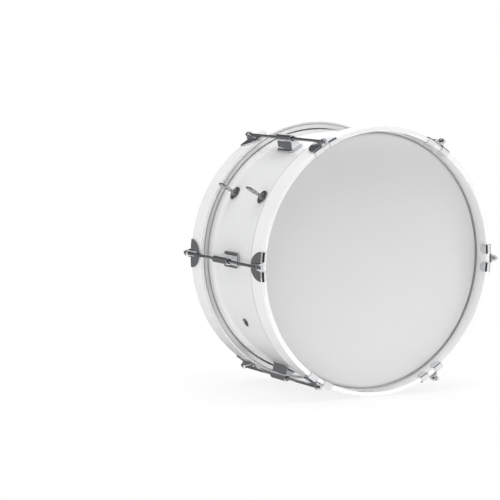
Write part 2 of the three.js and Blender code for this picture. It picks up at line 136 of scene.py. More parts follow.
def rounded(corners, closed=False):
    """A line through (x, y) corners, with (x, y, radius, steps) for those that are rounded."""
    line = []
    for index, (x, y, *ease) in enumerate(corners):
        here = Vector((x, y))
        if not ease:
            line.append(here)
            continue
        radius, steps = ease
        before = Vector(corners[index - 1][:2]) - here
        after = Vector(corners[(index + 1) % len(corners)][:2]) - here
        half = before.angle(after) / 2
        bisector = (before.normalized() + after.normalized()).normalized()
        middle = here + bisector * radius / math.sin(half)
        start = here + before.normalized() * radius / math.tan(half) - middle
        end = here + after.normalized() * radius / math.tan(half) - middle
        sweep = start.angle_signed(end)
        for step in range(steps + 1):
            turn = Matrix.Rotation(-sweep * step / steps, 2)
            line.append(middle + turn @ start)
    if closed:
        line.append(line[0])
    return line


def mirrored(half):
    """The other half of an outline, from its last corner back to its first."""
    return [(radius, -along, *ease) for radius, along, *ease in reversed(half)]


def extrude(step):
    """Draws what is selected out by a step in metres."""
    bpy.ops.mesh.extrude_region_move(TRANSFORM_OT_translate={"value": step})


def drawn(name, points):
    """A line drawn from point to point in millimetres, left in edit mode and all selected."""
    deselect()
    bpy.ops.mesh.primitive_plane_add(size=MM)
    piece = bpy.context.object
    piece.name = name
    piece.data.name = name
    edit()
    bpy.ops.mesh.select_mode(type="VERT")
    bpy.ops.mesh.merge(type="CENTER")
    places = [Vector(point) * MM for point in points]
    bpy.ops.transform.translate(value=places[0])
    for a, b in zip(places, places[1:]):
        extrude(b - a)
    bpy.ops.mesh.select_all(action="SELECT")
    bpy.ops.mesh.remove_doubles(threshold=WELD * MM)
    return piece


def drawn_out(name, section, start, length):
    """An (across, height) section, filled and drawn out along Y, left in edit mode."""
    piece = drawn(name, [(height, start, across) for across, height in section + section[:1]])
    bpy.ops.mesh.edge_face_add()
    extrude((0, length * MM, 0))
    return piece


def close_up(threshold=WELD):
    """Joins what lies together and turns the faces outward."""
    bpy.ops.mesh.select_all(action="SELECT")
    bpy.ops.mesh.remove_doubles(threshold=threshold * MM)
    bpy.ops.mesh.normals_make_consistent(inside=False)
    leave()


def turned(name, outline, steps, centre=(0.0, 0.0, 0.0)):
    """A piece turned round a line along Y, from (radius, place along Y) points."""
    x, _, z = centre
    points = [(x + radius, along, z) for radius, along in outline]
    piece = drawn(name, points)
    middle = Vector(centre) * MM
    bpy.ops.mesh.spin(steps=steps, angle=2 * math.pi, center=middle, axis=(0, 1, 0))
    close_up()
    return piece


def modify(piece, kind, **settings):
    """Adds a modifier to a piece and applies it."""
    pick(piece)
    modifier = piece.modifiers.new(kind.lower(), kind)
    for key, value in settings.items():
        setattr(modifier, key, value)
    bpy.ops.object.modifier_apply(modifier=modifier.name)
    return piece


def smooth(piece, degrees):
    """Smooths what bends less than the angle, with broad faces kept flat."""
    pick(piece)
    bpy.ops.object.shade_smooth_by_angle(angle=math.radians(degrees))
    return modify(piece, "WEIGHTED_NORMAL", mode="FACE_AREA", weight=50, keep_sharp=True)


def eased(piece, width, segments=3, degrees=50):
    """Rounds the edges that bend more than the angle."""
    return modify(
        piece,
        "BEVEL",
        width=width * MM,
        segments=segments,
        limit_method="ANGLE",
        angle_limit=math.radians(degrees),
        use_clamp_overlap=True,
    )


def cutter(radius, length, middle, turn):
    """A round bar to cut a hole with, laid down by its turn."""
    deselect()
    bpy.ops.mesh.primitive_cylinder_add(
        vertices=32,
        radius=radius * MM,
        depth=length * MM,
        location=[c * MM for c in middle],
        rotation=turn,
    )
    bpy.ops.object.transform_apply(location=True, rotation=True)
    return bpy.context.object


def cut(piece, tool):
    """Cuts a tool's shape out of a piece, and removes the tool."""
    modify(piece, "BOOLEAN", operation="DIFFERENCE", object=tool, solver="EXACT")
    bpy.data.objects.remove(tool)
    return piece


def joined(name, *pieces):
    """Several pieces made into one."""
    pick(pieces[0])
    for piece in pieces[1:]:
        piece.select_set(True)
    bpy.ops.object.join()
    pieces[0].name = name
    pieces[0].data.name = name
    return pieces[0]


def moved(piece, matrix):
    piece.data.transform(matrix)
    piece.data.update()
    return piece


def laid_out(piece):
    """Turns what was made along +Y so that it points along +X."""
    return moved(piece, Matrix.Rotation(-math.pi / 2, 4, "Z"))


def wrapped(piece, radius):
    """Bends a flat piece that stands at a radius round the drum's axis."""
    moved(piece, Matrix.Translation((-radius * MM, 0, 0)))
    across = [v.co.z for v in piece.data.vertices]
    modify(
        piece,
        "SIMPLE_DEFORM",
        deform_method="BEND",
        deform_axis="Y",
        angle=-(max(across) - min(across)) / (radius * MM),
    )
    return moved(piece, Matrix.Translation((radius * MM, 0, 0)))


def at_angle(degrees, end=1, along=0.0):
    """Puts what was made along +X at an angle round the drum, seen from the front."""
    lift = Matrix.Translation((0, along * MM, CENTRE * MM))
    turn = Matrix.Rotation(-math.radians(degrees), 4, "Y")
    over = Matrix.Rotation(math.pi, 4, "X") if end < 0 else Matrix.Identity(4)
    return lift @ turn @ over


def placed(name, model, matrix, body, slot, *nodes):
    """A copy of a model, with its own mesh, put in place to ride on a body."""
    piece = bpy.data.objects.new(name, model.data.copy())
    piece.data.name = name
    bpy.context.collection.objects.link(piece)
    moved(piece, matrix)
    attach(piece, body)
    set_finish(piece, slot)
    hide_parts(*nodes)
    return piece


# Finishes


class Link:
    """A shader value that can be added, subtracted, multiplied and raised like a number."""

    def __init__(self, tree, socket):
        self.tree = tree
        self.socket = socket

    def math(self, operation, *others):
        node = self.tree.nodes.new("ShaderNodeMath")
        node.operation = operation
        for slot, value in zip(node.inputs, (self, *others)):
            connect(self.tree, value, slot)
        return Link(self.tree, node.outputs[0])

    def __add__(self, other):
        return self.math("ADD", other)

    def __radd__(self, other):
        return self.math("ADD", other)

    def __sub__(self, other):
        return self.math("SUBTRACT", other)

    def __rsub__(self, other):
        return (self * -1.0).math("ADD", other)

    def __mul__(self, other):
        return self.math("MULTIPLY", other)

    def __rmul__(self, other):
        return self.math("MULTIPLY", other)

    def __pow__(self, other):
        return self.math("POWER", other)

    def ramp(self, low, high):
        """0 below low, 1 above high and smooth between them."""
        node = self.tree.nodes.new("ShaderNodeMapRange")
        node.interpolation_type = "SMOOTHSTEP"
        connect(self.tree, self, node.inputs["Value"])
        node.inputs["From Min"].default_value = low
        node.inputs["From Max"].default_value = high
        return Link(self.tree, node.outputs["Result"])


def connect(tree, value, slot):
    if isinstance(value, Link):
        tree.links.new(value.socket, slot)
    else:
        slot.default_value = value


class Finish:
    """A material under construction, with its Principled shader and its Object coordinates."""

    def __init__(self, name, **sockets):
        self.material = bpy.data.materials.new(name)
        self.material.use_nodes = True
        self.tree = self.material.node_tree
        self.shader = self.tree.nodes["Principled BSDF"]
        self.place = self.node("ShaderNodeTexCoord", "Object")
        self.set(**sockets)

    def node(self, kind, output, **sockets):
        """A node of a kind with its sockets filled, as a link from one of its outputs."""
        node = self.tree.nodes.new(kind)
        for key, value in sockets.items():
            connect(self.tree, value, node.inputs[key.replace("_", " ")])
        return Link(self.tree, node.outputs[output])

    def set(self, **sockets):
        for key, value in sockets.items():
            connect(self.tree, value, self.shader.inputs[key.replace("_", " ")])

    def noise(self, scale, detail=2.0, vector=None):
        """Noise with features of about 1 / scale metres."""
        vector = vector or self.place
        return self.node("ShaderNodeTexNoise", "Fac", Vector=vector, Scale=scale, Detail=detail)

    def split(self):
        node = self.tree.nodes.new("ShaderNodeSeparateXYZ")
        connect(self.tree, self.place, node.inputs[0])
        return [Link(self.tree, output) for output in node.outputs]

    def polar(self):
        """Radius, place along the drum and angle, round the drum's axis."""
        x, y, z = self.split()
        up = z - CENTRE * MM
        radius = (x * x + up * up) ** 0.5
        return radius, y, up.math("ARCTAN2", x)

    def vector(self, x, y, z):
        return self.node("ShaderNodeCombineXYZ", "Vector", X=x, Y=y, Z=z)

    def mix(self, share, low, high):
        """One colour turning into another as the share goes from 0 to 1."""
        node = self.tree.nodes.new("ShaderNodeMix")
        node.data_type = "RGBA"
        connect(self.tree, share, node.inputs["Factor"])
        for key, colour in (("A", low), ("B", high)):
            slot = [s for s in node.inputs if s.name == key and s.type == "RGBA"][0]
            connect(self.tree, colour if isinstance(colour, Link) else (*colour, 1.0), slot)
        output = [s for s in node.outputs if s.type == "RGBA"][0]
        return Link(self.tree, output)

    def bump(self, height, depth, strength):
        """Unevenness of a depth in millimetres."""
        sockets = {"Height": height, "Distance": depth * MM, "Strength": strength}
        self.set(Normal=self.node("ShaderNodeBump", "Normal", **sockets))


def shell_finish():
    """Gloss white lacquer outside, and bare maple on the inner wall and bearing edges."""
    finish = Finish("shell_lacquer", Coat_Roughness=0.03, Coat_IOR=1.5)
    radius, along, angle = finish.polar()
    fine = finish.vector(angle * 14.0, along * 900.0, radius * 900.0)
    broad = finish.vector(angle * 9.0, along * 60.0, radius * 60.0)
    grain = finish.noise(1.0, detail=3.0, vector=fine)
    figure = finish.noise(1.0, vector=broad)
    wood = finish.mix(grain * 0.6 + figure * 0.4, (0.56, 0.38, 0.22), (0.76, 0.58, 0.38))
    lacquer = finish.mix(finish.noise(5.0), (0.80, 0.805, 0.805), (0.845, 0.85, 0.85))
    bare, covered = SHELL_RADIUS - 3.0, SHELL_RADIUS - 2.4
    painted = radius.ramp(bare * MM, covered * MM)
    finish.set(
        Base_Color=finish.mix(painted, wood, lacquer),
        Roughness=0.55 - painted * 0.42 + finish.noise(40.0) * 0.03,
        Coat_Weight=painted * 0.8,
    )
    pores = grain * (1.0 - painted) * 3.0
    finish.bump(finish.noise(260.0, detail=1.0) + pores, depth=0.02, strength=0.5)
    return finish.material


def hoop_finish():
    """Gloss white lacquer over wood, with a fine grey line near the shell's side."""
    finish = Finish("hoop_lacquer", Coat_Roughness=0.04, Coat_IOR=1.5)
    _, along, _ = finish.split()
    along = along.math("ABSOLUTE")
    start, end, blur = HOOP_EDGE + 1.0, HOOP_EDGE + 2.3, 0.2
    line = along.ramp(start * MM, (start + blur) * MM) * along.ramp(end * MM, (end - blur) * MM)
    lacquer = finish.mix(finish.noise(9.0), (0.86, 0.86, 0.855), (0.90, 0.90, 0.895))
    finish.set(
        Base_Color=finish.mix(line, lacquer, (0.40, 0.40, 0.40)),
        Roughness=finish.noise(60.0) * 0.05 + 0.14,
        Coat_Weight=0.7,
    )
    finish.bump(finish.noise(230.0, detail=1.0), depth=0.02, strength=0.5)
    return finish.material


def film_finish():
    """Pale grey-white satin film with a fine tooth, and painted shade where it bends over the edge.
    """
    finish = Finish("head_film", Coat_Weight=0.0)
    radius, _, _ = finish.polar()
    cloud = finish.noise(7.0, detail=3.0)
    tooth = finish.noise(1900.0)
    middle = finish.mix(cloud, (0.608, 0.609, 0.61), (0.636, 0.637, 0.638))
    # The darker ring where the film bends over the edge is painted shade, not a colour of the film.
    flat, bent = SHELL_RADIUS - 4.5, SHELL_RADIUS - 0.8
    collar = radius.ramp(flat * MM, bent * MM)
    finish.set(
        Base_Color=finish.mix(collar * 0.5, middle, (0.52, 0.52, 0.515)),
        Roughness=0.36 + cloud * 0.06 + tooth * 0.05,
    )
    finish.bump(tooth, depth=0.012, strength=0.5)
    return finish.material


def aluminium_finish():
    """Aluminium of the flesh hoops, with fine lines left round it by rolling."""
    finish = Finish("flesh_hoop_metal", Metallic=1.0)
    radius, along, angle = finish.polar()
    drawn_round = finish.vector(angle * 3.0, along * 4200.0, radius * 4200.0)
    lines = finish.noise(1.0, detail=3.0, vector=drawn_round)
    finish.set(
        Base_Color=finish.mix(lines, (0.76, 0.765, 0.77), (0.88, 0.885, 0.89)),
        Roughness=lines * 0.16 + 0.26,
    )
    finish.bump(lines, depth=0.01, strength=0.4)
    return finish.material


def chrome_finish(name, brightness=1.0):
    """Bright chrome plate with faint handling marks, made darker as painted shade when the
    brightness is below 1.
    """
    finish = Finish(name, Metallic=1.0)
    smudge = finish.noise(45.0).ramp(0.25, 0.85)
    # A brightness below 1 darkens the plate's colour as painted shade, standing in for dark
    # reflections.
    clean = [brightness * level for level in (0.80, 0.81, 0.83)]
    marked = [brightness * level for level in (0.75, 0.76, 0.78)]
    finish.set(
        Base_Color=finish.mix(smudge, clean, marked),
        Roughness=smudge * 0.05 + 0.05,
    )
    finish.bump(finish.noise(420.0, detail=1.0), depth=0.006, strength=0.35)
    return finish.material


def rod_finish():
    """Chrome plate of the rods, duller where the thread is cut, and darker grey there, partly for
    the cut metal and partly as painted shade of the thread's grooves.
    """
    finish = Finish("rod_chrome", Metallic=1.0)
    _, along, _ = finish.split()
    plain, threaded = THREAD_END + 1.5, THREAD_END - 0.5
    thread = along.math("ABSOLUTE").ramp(plain * MM, threaded * MM)
    marks = finish.noise(500.0, detail=3.0)
    # The thread's dark grey is partly the cut metal and partly painted shade of its grooves.
    finish.set(
        Base_Color=finish.mix(thread, (0.64, 0.65, 0.67), (0.27, 0.275, 0.28)),
        Roughness=thread * 0.16 + marks * 0.08 + 0.06,
    )
    finish.bump(marks, depth=0.006, strength=0.35)
    return finish.material


def zinc_finish():
    """Dull zinc plate with its spangle."""
    finish = Finish("zinc_plate", Metallic=1.0)
    spangle = finish.node("ShaderNodeTexVoronoi", "Color", Vector=finish.place, Scale=900.0)
    share = finish.node("ShaderNodeSeparateColor", "Red", Color=spangle)
    finish.set(
        Base_Color=finish.mix(share, (0.42, 0.42, 0.41), (0.55, 0.55, 0.54)),
        Roughness=share * 0.18 + 0.34,
    )
    finish.bump(finish.noise(1200.0), depth=0.01, strength=0.4)
    return finish.material


# Shell, heads and hoops


def shell_model():
    """The wall with its bearing edges, the holes for screws and eyebolts, and the vent."""
    inner = SHELL_RADIUS - SHELL_WALL
    crown = 3.5
    drill_length = 30.0
    half = [
        (inner, -SHELL_EDGE + crown),
        (inner + crown, -SHELL_EDGE, 1.2, 5),
        (SHELL_RADIUS, -SHELL_EDGE, 2.5, 6),
    ]
    shell = turned("shell_model", rounded(half + mirrored(half), closed=True), RING_STEPS)
    holes = [
        (station * STATION_DEGREES, place, SCREW_HOLE)
        for station in range(STATIONS)
        for place in (-SCREW_PLACE, SCREW_PLACE)
    ]
    holes += [(EYEBOLT_DEGREES, place, BOLT_HOLE) for place in (-EYEBOLT_PLACE, EYEBOLT_PLACE)]
    holes.append((VENT_DEGREES, 0.0, VENT_HOLE))
    drills = []
    for degrees, place, radius in holes:
        drill = cutter(radius, drill_length, (SHELL_RADIUS, 0, 0), ALONG_X)
        turn = Matrix.Rotation(-math.radians(degrees), 4, "Y")
        drills.append(moved(drill, Matrix.Translation((0, place * MM, 0)) @ turn))
    return smooth(cut(shell, joined("drills", *drills)), degrees=30)


def head_model():
    """The film, flat over the bearing edge and down into the flesh hoop's slot."""
    under = SHELL_EDGE + GAP
    top = under + FILM
    foot = HOOP_EDGE + 1.3
    collar_in, collar_out = 229.9, 230.38
    outline = [(radius, top) for radius in (0.0, 25.0, 70.0, 120.0, 170.0, 210.0)]
    outline += [
        (226.4, top, 2.8, 8),
        (collar_out, HOOP_EDGE + 8.4, 1.5, 4),
        (collar_out, foot),
        (collar_in, foot),
        (collar_in, HOOP_EDGE + 8.2, 1.0, 4),
        (225.7, under, 2.2, 8),
        (0.0, under),
    ]
    return smooth(turned("head_model", rounded(outline), RING_STEPS), degrees=40)


def flesh_hoop_model():
    """A rolled ring that holds the film's edge in a slot near its inner wall."""
    slot_in, slot_out = 229.6, 230.7
    slot_floor, lip = HOOP_EDGE + 1.0, HOOP_EDGE + 5.0
    outline = [
        (FLESH_INNER, HOOP_EDGE, 0.6, 3),
        (FLESH_OUTER, HOOP_EDGE, 1.4, 5),
        (FLESH_OUTER, FLESH_TOP, 1.4, 5),
        (slot_out, FLESH_TOP, 0.5, 3),
        (slot_out, slot_floor),
        (slot_in, slot_floor),
        (slot_in, lip, 0.4, 2),
        (FLESH_INNER, lip, 0.5, 2),
    ]
    return smooth(turned("flesh_hoop_model", rounded(outline, closed=True), RING_STEPS), degrees=40)


def hoop_model():
    """Counter hoop with eased rims and a step for the flesh hoop."""
    lip, step = FLESH_OUTER + GAP, FLESH_TOP + GAP
    outline = [
        (lip, HOOP_EDGE, 0.5, 2),
        (HOOP_OUTER, HOOP_EDGE, 1.2, 4),
        (HOOP_OUTER, RIM, 3.2, 8),
        (HOOP_INNER, RIM, 2.8, 7),
        (HOOP_INNER, step, 0.8, 3),
        (lip, step),
    ]
    return smooth(turned("hoop_model", rounded(outline, closed=True), RING_STEPS), degrees=40)


# Claws


def rounded_end(middle, half_width, half_length, rows, last=0.97):
    """Draws the selected line of edges out towards -Y, narrowing to the end of an ellipse.

    The last row comes to this share of the half length.
    """
    pivot = Vector((0, 0, middle)) * MM
    reach, width = 0.0, half_width
    for row in range(1, rows + 1):
        angle = math.asin(last) * row / rows
        ahead, narrower = half_length * math.sin(angle), half_width * math.cos(angle)
        extrude(Vector((0, reach - ahead, 0)) * MM)
        bpy.ops.transform.resize(value=(1, 1, narrower / width), center_override=pivot)
        reach, width = ahead, narrower


def folded(centre):
    """Turns the selected line of edges a quarter round a line along Z."""
    bpy.ops.mesh.spin(steps=8, angle=-math.pi / 2, center=Vector(centre) * MM, axis=(0, 0, 1))


def claw_sheet():
    """The claw's stamped sheet: a plate with a rounded end, and two tabs hooked into the hoop."""
    outer = CLAW_INNER + CLAW_SHEET
    bend = 6.0
    fold = CLAW_FRONT - bend
    tab_edge, middle_edge = 8.5, 2.9
    plate_length = 33.3
    parts = 5
    wing = [CLAW_HALF_WIDTH - (CLAW_HALF_WIDTH - tab_edge) * i / parts for i in range(parts + 1)]
    row = wing + [middle_edge, -middle_edge] + [-z for z in reversed(wing)]
    sheet = drawn("claw_sheet", [(outer, fold, z) for z in row])
    rounded_end(0.0, CLAW_HALF_WIDTH, plate_length, rows=13, last=0.993)
    tab_radius = (CLAW_HALF_WIDTH - tab_edge) / 2
    across = TONGUE_FACE + 2 * bend - outer
    down = TONGUE_END + tab_radius - fold
    for side in (-1, 1):
        select_edges(lambda p: abs(p.y - fold) < 5 * WELD and p.z * side > tab_edge)
        folded((outer - bend, fold, 0))
        extrude((across * MM, 0, 0))
        folded((TONGUE_FACE + bend, fold, 0))
        extrude((0, down * MM, 0))
        rounded_end(side * (tab_edge + tab_radius), tab_radius, tab_radius, rows=7)
    close_up(threshold=0.005)
    if sheet.data.polygons[0].normal.x < 0:
        sheet.data.flip_normals()
    modify(sheet, "SOLIDIFY", thickness=CLAW_SHEET * MM, offset=-1.0, use_even_offset=True)
    return eased(sheet, width=0.5)


def arch(foot, radius):
    """An arch over the rod, as (across, height) points from one foot to the other."""
    sheet_middle = CLAW_INNER + CLAW_SHEET / 2
    steps = 18
    over = [math.pi * i / steps for i in range(steps + 1)]
    top = [(radius * math.cos(a), ROD_AXIS + radius * math.sin(a)) for a in over]
    return [(foot / 2, sheet_middle), *top, (-foot / 2, sheet_middle)]


def bored(piece, radius, middle, length):
    """Cuts a round hole about the rod's axis."""
    return cut(piece, cutter(radius, length, (ROD_AXIS, middle, 0), ALONG_Y))


def claw_ramp():
    """The ramp that rises over the plate to the rod's seat."""
    section = arch(foot=15.8, radius=BOSS_RADIUS)
    ramp = drawn_out("claw_ramp", section, start=CLAW_FRONT - 2.0, length=-RAMP_LENGTH)
    foot = Vector((CLAW_INNER + CLAW_SHEET / 2, 0, 0)) * MM
    bpy.ops.transform.resize(value=(0.05, 1, 0.8), center_override=foot)
    close_up()
    return bored(ramp, SHANK_HOLE + 0.1, middle=CLAW_FRONT - 12.0, length=40.0)


def claw_seat():
    """The flat end of the ramp that the rod's flange presses on."""
    depth = 4.2
    section = arch(foot=16.2, radius=BOSS_RADIUS + 0.1)
    seat = drawn_out("claw_seat", section, start=CLAW_FRONT - depth, length=depth)
    close_up()
    return bored(eased(seat, width=0.8), SHANK_HOLE, middle=CLAW_FRONT, length=16.0)


def claw_model():
    """Claw of the back hoop: a stamped sheet with two hooked tabs, and a ramp to the rod's seat."""
    claw = joined("claw_model", claw_sheet(), claw_ramp(), claw_seat())
    return smooth(wrapped(claw, CLAW_INNER + CLAW_SHEET), degrees=38)


# Lugs, rods and the rest of the hardware


def lug_plate(seat):
    """The lug's curved plate, cut in strips so that it bends evenly."""
    half_width, corner_radius, strip = 14.0, 5.0, 4.5
    signs = ((1, 1), (-1, 1), (-1, -1), (1, -1))
    corners = [(y * LUG_END, z * half_width, corner_radius, 6) for y, z in signs]
    plate = drawn("lug_plate", [(seat, y, z) for y, z in rounded(corners, closed=True)])
    bpy.ops.mesh.edge_face_add()
    for line in range(-2, 3):
        bpy.ops.mesh.select_all(action="SELECT")
        bpy.ops.mesh.bisect(plane_co=(0, 0, line * strip * MM), plane_no=(0, 0, 1))
    bpy.ops.mesh.select_all(action="SELECT")
    extrude((LUG_PLATE * MM, 0, 0))
    close_up()
    return wrapped(eased(plate, width=1.1, segments=4), seat)


def lug_body(top):
    """The lug's body: sloped flanks from the plate's top up to a groove under the barrel."""
    half_length, groove = 24.5, 5.0
    side = [(-10.4, top - 0.6), (-9.8, top + 0.4), (-5.5, ROD_AXIS - 4.0)]
    under = [math.radians(degrees) for degrees in range(50, 131, 10)]
    section = side + [(-groove * math.cos(a), ROD_AXIS - groove * math.sin(a)) for a in under]
    section += [(-across, height) for across, height in reversed(side)]
    body = drawn_out("lug_body", section, start=-half_length, length=2 * half_length)
    close_up()
    return eased(body, width=1.2, segments=4, degrees=60)


def lug_barrel():
    """The lug's barrel, bored through and with a wider mouth at each end."""
    bore, mouth, outside = 3.1, 4.4, 6.7
    half = [
        (bore, -20.4),
        (mouth, -21.6, 0.4, 3),
        (mouth, -LUG_END, 0.7, 4),
        (outside, -LUG_END, 1.1, 5),
    ]
    outline = rounded(half + mirrored(half), closed=True)
    return turned("lug_barrel", outline, steps=56, centre=(ROD_AXIS, 0, 0))


def lug_model():
    """Lug: a curved plate on the shell, a waisted body and a barrel with a mouth at each end."""
    seat = SHELL_RADIUS + GAP
    pieces = [lug_plate(seat), lug_body(seat + LUG_PLATE), lug_barrel()]
    return smooth(joined("lug_model", *pieces), degrees=38)


def rod_shaft(seat):
    """The rod's plain parts, from the thread's core to the flange under the key."""
    tip, core, shank, flange = 3.0, 2.44, 3.0, 5.3
    outline = [
        (0.0, tip),
        (2.0, tip),
        (core, tip + 0.6),
        (core, THREAD_END),
        (shank, THREAD_END + 0.9, 0.4, 2),
        (shank, seat),
        (flange, seat, 0.3, 2),
        (flange, seat + 1.5, 0.6, 4),
        (3.9, seat + 2.0, 0.8, 3),
        (3.5, seat + 2.6),
        (0.0, seat + 2.6),
    ]
    return turned("rod_shaft", rounded(outline), steps=28)


def rod_key(seat):
    """The square head that a drum key turns."""
    width, length = 5.2, 7.0
    end = seat + 8.2
    deselect()
    bpy.ops.mesh.primitive_cube_add(size=1)
    key = bpy.context.object
    edit()
    bpy.ops.transform.resize(value=(width * MM, length * MM, width * MM))
    bpy.ops.transform.translate(value=(0, (end - length / 2) * MM, 0))
    leave()
    return eased(key, width=0.5)


def rod_thread():
    """The thread's ridge, wound round the rod's core."""
    root, crest, start = 2.42, 2.74, 21.0
    line = [(root, start, 0), (crest, start + PITCH / 2, 0), (root, start + PITCH, 0)]
    ridge = drawn("rod_thread", line)
    close_up()
    return modify(
        ridge,
        "SCREW",
        axis="Y",
        angle=2 * math.pi,
        screw_offset=PITCH * MM,
        iterations=32,
        steps=18,
        render_steps=18,
        use_merge_vertices=True,
        merge_threshold=WELD * MM,
    )


def rod_model():
    """Tension rod: a cut thread, a plain shank, a flange and a square head for the key."""
    seat = CLAW_FRONT + GAP
    rod = joined("rod_model", rod_shaft(seat), rod_key(seat), rod_thread())
    return smooth(moved(rod, Matrix.Translation((ROD_AXIS * MM, 0, 0))), degrees=38)


def eyebolt_eye():
    """The eyebolt's eye: round wire bent to a loop that lies along the drum."""
    wire, reach = 2.2, 7.3
    low, high = EYE_FOOT + 9.5, EYE_FOOT + 17.5
    deselect()
    bpy.ops.mesh.primitive_circle_add(
        vertices=20,
        radius=wire * MM,
        location=(low * MM, -reach * MM, 0),
        rotation=ALONG_X,
    )
    bpy.ops.object.transform_apply(location=True, rotation=True)
    eye = bpy.context.object
    edit()
    bpy.ops.mesh.select_all(action="SELECT")
    for start, end in ((low, high), (high, low)):
        bpy.ops.mesh.spin(steps=18, angle=math.pi, center=(start * MM, 0, 0), axis=(0, 0, 1))
        extrude(((end - start) * MM, 0, 0))
    close_up(threshold=0.01)
    return eye


def eyebolt_stem():
    """The eyebolt's shank, its collar and the neck below the eye."""
    tip, shank = 207.7, 3.0
    collar, collar_foot = 4.6, 231.6
    outline = [
        (0.0, tip),
        (2.6, tip),
        (shank, tip + 0.6),
        (shank, collar_foot),
        (collar, collar_foot, 0.4, 3),
        (collar, collar_foot + 2.5, 0.9, 5),
        (2.4, collar_foot + 3.0, 1.2, 6),
        (2.3, EYE_FOOT - 0.4, 2.0, 5),
        (2.9, EYE_FOOT + 1.6),
        (0.0, EYE_FOOT + 2.0),
    ]
    return laid_out(turned("eyebolt_stem", rounded(outline), steps=40))


def eyebolt_model():
    """Eyebolt: a bent wire eye that lies along the drum, on a neck and a collar."""
    return smooth(joined("eyebolt_model", eyebolt_eye(), eyebolt_stem()), degrees=40)


def cup_model():
    """Domed washer between the eyebolt and the shell."""
    seat, edge = SHELL_RADIUS + GAP, 13.0
    outline = [
        (BOLT_HOLE, seat),
        (edge, seat, 0.3, 2),
        (edge, seat + 0.9, 0.4, 3),
        (12.0, seat + 1.9, 2.0, 4),
        (6.6, seat + 2.9, 1.2, 4),
        (5.6, seat + 4.0, 0.5, 3),
        (BOLT_HOLE, seat + 4.0),
    ]
    cup = turned("cup_model", rounded(outline, closed=True), steps=64)
    return smooth(laid_out(cup), degrees=35)


def grommet_model():
    """Vent grommet: a tube through the shell, rolled over on both sides."""
    bore, tube, flange, flange_depth = 4.6, 5.8, 8.8, 1.2
    inside = SHELL_RADIUS - SHELL_WALL - GAP
    outside = SHELL_RADIUS + GAP
    outline = [
        (bore, inside - flange_depth, 0.5, 3),
        (flange, inside - flange_depth, 0.5, 3),
        (flange, inside, 0.3, 2),
        (tube, inside),
        (tube, outside),
        (flange, outside, 0.3, 2),
        (flange, outside + flange_depth, 1.0, 4),
        (bore, outside + flange_depth, 1.1, 5),
    ]
    grommet = turned("grommet_model", rounded(outline, closed=True), steps=48)
    return smooth(laid_out(grommet), degrees=35)


# The drum put together


def dress(piece, material):
    piece.data.materials.clear()
    piece.data.materials.append(material)


def build_drum():
    """Makes one model of each kind, and a copy of it for each of its places."""
    finishes = {
        "shell_lacquer": shell_finish(),
        "hoop_lacquer": hoop_finish(),
        "head_film": film_finish(),
        "flesh_hoop_metal": aluminium_finish(),
        "chrome": chrome_finish("chrome"),
        # The eyebolts and their cups get a darker copy of the chrome: painted shade standing in for
        # their dark reflections.
        "eyebolt_painted_shade_chrome": chrome_finish("eyebolt_painted_shade_chrome", brightness=0.66),
        "rod_chrome": rod_finish(),
        "zinc_plate": zinc_finish(),
    }
    models = {
        "shell": shell_model(),
        "head": head_model(),
        "flesh_hoop": flesh_hoop_model(),
        "hoop": hoop_model(),
        "claw": claw_model(),
        "lug": lug_model(),
        "rod": rod_model(),
        "eyebolt": eyebolt_model(),
        "eyebolt_cup": cup_model(),
        "grommet": grommet_model(),
    }
    rings = {"head": "head_film", "flesh_hoop": "flesh_hoop_metal", "hoop": "hoop_lacquer"}

    rest = at_angle(0)
    pieces = [placed("drum_shell", models["shell"], rest, "drum", "shell_lacquer", "shell")]
    for end, side in ENDS.items():
        over = at_angle(0, side)
        for kind, slot in rings.items():
            name = f"{end}_{kind}"
            pieces.append(placed(f"{name}_look", models[kind], over, "drum", slot, name))
        for station in range(STATIONS):
            place = at_angle(station * STATION_DEGREES, side)
            for kind, slot in (("claw", "chrome"), ("rod", "rod_chrome")):
                name = f"{end}_{kind}_{station + 1}"
                pieces.append(placed(f"{name}_look", models[kind], place, name, slot, name))
        place = at_angle(EYEBOLT_DEGREES, along=side * EYEBOLT_PLACE)
        for kind in ("eyebolt", "eyebolt_cup"):
            name = f"{kind}_{end}"
            pieces.append(placed(f"{name}_look", models[kind], place, "drum", "chrome", name))
    for station in range(STATIONS):
        name = f"lug_{station + 1}"
        place = at_angle(station * STATION_DEGREES)
        pieces.append(placed(f"{name}_look", models["lug"], place, "drum", "chrome", name))
    place, name = at_angle(VENT_DEGREES), "vent_grommet"
    pieces.append(placed(f"{name}_look", models["grommet"], place, "drum", "chrome", name))

    for piece in pieces:
        # Eyebolts and cups take the darker chrome, which is painted shade.
        finish = "eyebolt_painted_shade_chrome" if "eyebolt" in piece.name else piece["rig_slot"]
        dress(piece, finishes[finish])
    for model in models.values():
        bpy.data.objects.remove(model)
    for name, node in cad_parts.items():
        if "screw" in name or "nut" in name:
            dress(node, finishes["zinc_plate"])


# Floor, light and camera


def add_floor():
    """A white floor that fades into the background and keeps a soft shadow near the drum."""
    near_glow, fade_start, fade_end = 0.82, 0.5, 1.5
    deselect()
    bpy.ops.mesh.primitive_circle_add(vertices=96, radius=30.0, fill_type="NGON")
    floor = bpy.context.object
    floor.name = "floor"
    finish = Finish("floor_white", Base_Color=(0.9, 0.9, 0.9, 1.0), Roughness=0.8)
    finish.set(Specular_IOR_Level=0.1)
    x, y, _ = finish.split()
    far = ((x * x + y * y) ** 0.5).ramp(fade_start, fade_end)
    rays = finish.node("ShaderNodeLightPath", "Is Camera Ray")
    glow = finish.node("ShaderNodeEmission", "Emission", Color=(1.0, 1.0, 1.0, 1.0))
    mix = finish.tree.nodes.new("ShaderNodeMixShader")
    connect(finish.tree, rays * (far * (1.0 - near_glow) + near_glow), mix.inputs[0])
    finish.tree.links.new(finish.shader.outputs[0], mix.inputs[1])
    connect(finish.tree, glow, mix.inputs[2])
    finish.tree.links.new(mix.outputs[0], finish.tree.nodes["Material Output"].inputs[0])
    dress(floor, finish.material)
    floor.visible_glossy = False


